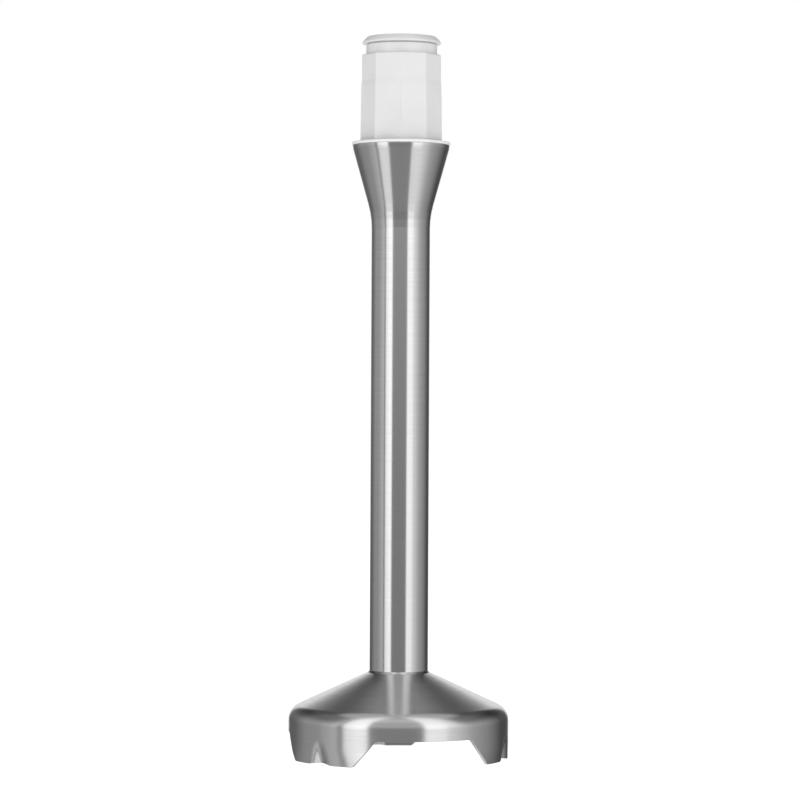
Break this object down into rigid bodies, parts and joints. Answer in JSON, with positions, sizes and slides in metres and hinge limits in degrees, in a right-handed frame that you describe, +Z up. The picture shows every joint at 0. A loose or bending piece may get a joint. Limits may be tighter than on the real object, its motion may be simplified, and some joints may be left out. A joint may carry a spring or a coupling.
{
  "type": "immersion blender shaft",
  "caption": "Detachable blending shaft: slim steel tube with a flared top, a white drive plug with a latch groove above it, and a windowed bell guard over a spinning blade.",
  "frame": {"origin": "centre of the plane that the feet stand on, on the drive shaft's axis", "axes": "+Z up along the drive shaft towards the plug; -Y out through the middle of one window"},
  "size_m": [0.0662, 0.0662, 0.2164],
  "materials": {
    "bell_steel": "fine brushed",
    "tube_steel": "fine brushed",
    "blade_steel": "ground",
    "bright_steel": "turned",
    "spring_steel": "tempered",
    "white_plug": "satin moulded",
    "white_cap": "satin moulded",
    "grey_trim": "satin moulded",
    "grey_plastic": "satin moulded",
    "inner_plastic": "satin moulded",
    "bush_plastic": "satin moulded",
    "black_plastic": "satin moulded",
    "bronze": "sintered bronze",
    "seal_rubber": "matt"
  },
  "bodies": {
    "shaft_body": {"bell_guard": "bell_steel", "shaft_tube": "tube_steel", "coupling_housing": "white_plug", "coupling_cap": "white_cap", "trim_ring": "grey_trim", "housing_o_ring": "seal_rubber", "inner_guide_tube": "inner_plastic", "upper_bush": "bronze", "bush_clip": "spring_steel", "centre_bush": "bush_plastic", "lower_bush": "bronze", "lower_holder": "grey_plastic", "holder_o_ring": "seal_rubber", "shaft_seal": "seal_rubber", "garter_spring": "spring_steel", "seal_cap": "bright_steel"},
    "rotor": {"drive_shaft": "bright_steel", "drive_coupling": "black_plastic", "coupling_pin": "bright_steel", "thrust_washer": "bush_plastic", "spring_washer": "spring_steel", "shaft_clip": "spring_steel", "slinger": "seal_rubber", "blade_hub": "bright_steel", "hub_pin": "bright_steel", "blade": "blade_steel", "blade_nut": "bright_steel"}
  },
  "joints": [
    {"name": "drive_spin", "type": "hinge", "parent": "shaft_body", "child": "rotor", "pos_m": [0, 0, 0.1], "axis": [0, 0, 1], "continuous": true}
  ]
}
